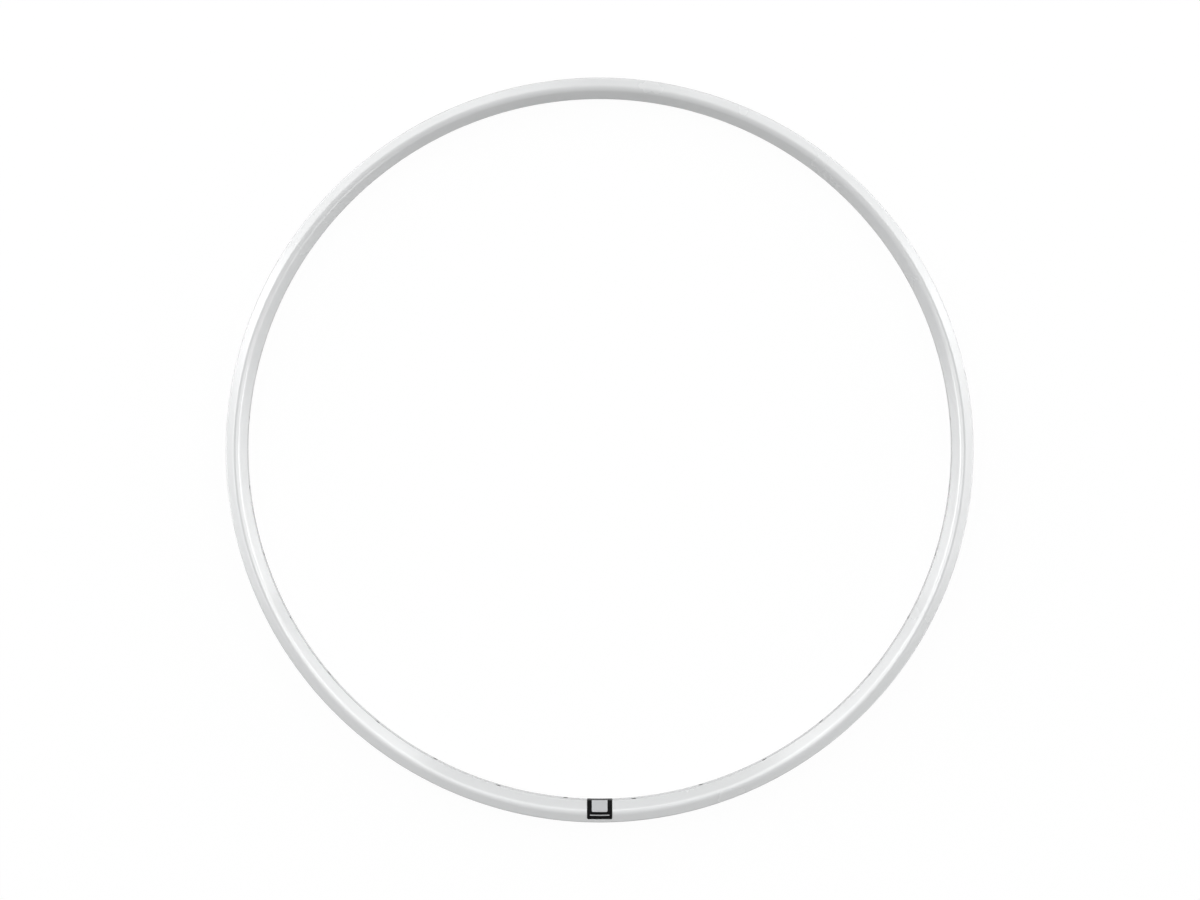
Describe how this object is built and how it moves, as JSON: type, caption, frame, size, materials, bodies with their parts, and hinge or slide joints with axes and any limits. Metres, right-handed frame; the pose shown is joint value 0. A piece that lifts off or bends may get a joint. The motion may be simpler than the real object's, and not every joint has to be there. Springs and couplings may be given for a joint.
{
  "type": "bicycle rim",
  "caption": "White painted hoop of hollow double-wall section for a bicycle wheel, with hooked tyre flanges, staggered spoke holes, a valve hole and a small black label.",
  "frame": {"origin": "centre of the hoop, on the wheel's axle line, in the rim's mid-plane", "axes": "+Z along the axle line towards the labelled side, -Y towards the label, +Y towards the valve hole"},
  "size_m": [0.634, 0.634, 0.027],
  "materials": {
    "white_paint": "smooth satin gloss white paint on aluminium",
    "label_film": "black printed film with a plain silver field"
  },
  "bodies": {
    "root": {"rim": "white_paint", "side_label": "label_film"}
  },
  "joints": []
}
